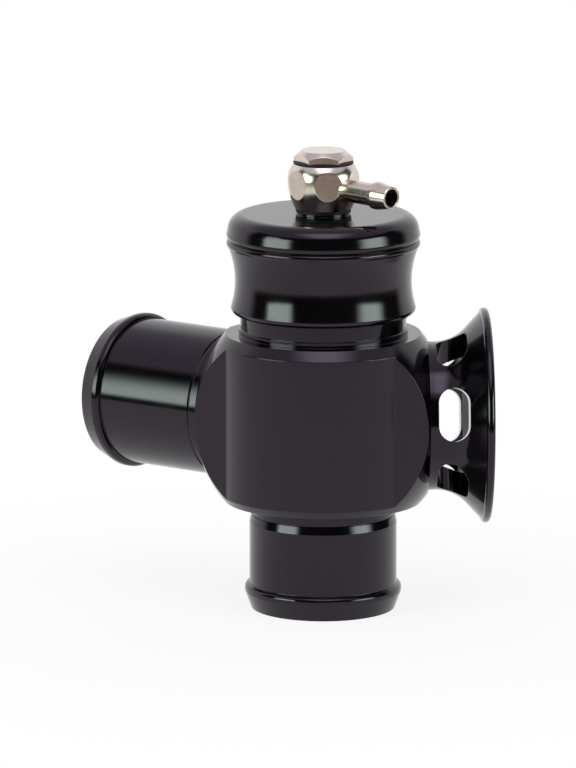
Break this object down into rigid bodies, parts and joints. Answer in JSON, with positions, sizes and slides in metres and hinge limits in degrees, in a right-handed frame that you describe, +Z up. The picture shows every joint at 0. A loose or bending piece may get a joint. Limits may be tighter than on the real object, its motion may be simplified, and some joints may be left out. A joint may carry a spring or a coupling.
{
  "type": "blow off valve",
  "caption": "Piston-type blow off valve: ball body with beaded hose ends, a slotted vent trumpet, a screw-down spring cap and a swivelling vacuum nipple.",
  "frame": {"origin": "centre of the inlet mouth, at the open lower end of the inlet hose end", "axes": "+Z up the valve axis through the cap, +X along the vent trumpet; the recirculation hose end lies at 141.5 degrees from +X about +Z"},
  "size_m": [0.1043, 0.0821, 0.1193],
  "materials": {
    "black_anodised_aluminium": "black anodised, semi-gloss, finely turned",
    "grey_hard_anodised_aluminium": "hard anodised, satin",
    "black_rubber": "moulded, matt",
    "nickel_plated_brass": "bright nickel plate",
    "spring_steel": "drawn wire",
    "white_slide_polymer": "plain",
    "bronze_filled_slide_polymer": "plain"
  },
  "bodies": {
    "valve_body": {"body": "black_anodised_aluminium", "inlet_hose_end": "black_anodised_aluminium", "inlet_o_ring": "black_rubber", "recirculation_hose_end": "black_anodised_aluminium", "recirculation_o_ring": "black_rubber", "vent_trumpet": "black_anodised_aluminium", "trumpet_o_ring": "black_rubber", "cap_o_ring": "black_rubber"},
    "piston": {"piston": "grey_hard_anodised_aluminium", "piston_o_ring": "black_rubber", "piston_guide_ring": "bronze_filled_slide_polymer", "seat_seal": "black_rubber"},
    "spring_seat": {"spring_seat": "grey_hard_anodised_aluminium", "thrust_washer": "white_slide_polymer", "spring": "spring_steel"},
    "cap": {"cap": "black_anodised_aluminium", "banjo_bolt": "nickel_plated_brass", "lower_sealing_washer": "black_rubber", "upper_sealing_washer": "black_rubber"},
    "vacuum_fitting": {"banjo_fitting": "nickel_plated_brass"}
  },
  "joints": [
    {"name": "piston_lift", "type": "slide", "parent": "valve_body", "child": "piston", "axis": [0, 0, 1], "range_m": [0, 0.018], "stiffness_N_per_m": 1500, "springref_m": -0.02, "deforming": ["spring"]},
    {"name": "seat_feed", "type": "slide", "parent": "valve_body", "child": "spring_seat", "axis": [0, 0, 1], "range_m": [-0.003, 0.0015]},
    {"name": "cap_turn", "type": "hinge", "parent": "spring_seat", "child": "cap", "pos_m": [0, 0, 0.0771], "axis": [0, 0, 1], "range_deg": [-721, 361]},
    {"name": "fitting_swivel", "type": "hinge", "parent": "cap", "child": "vacuum_fitting", "pos_m": [0, 0, 0.11], "axis": [0, 0, 1], "continuous": true}
  ],
  "couplings": [
    {"joint": "cap_turn", "follows": "seat_feed", "rad_per_m": 4188.8}
  ]
}
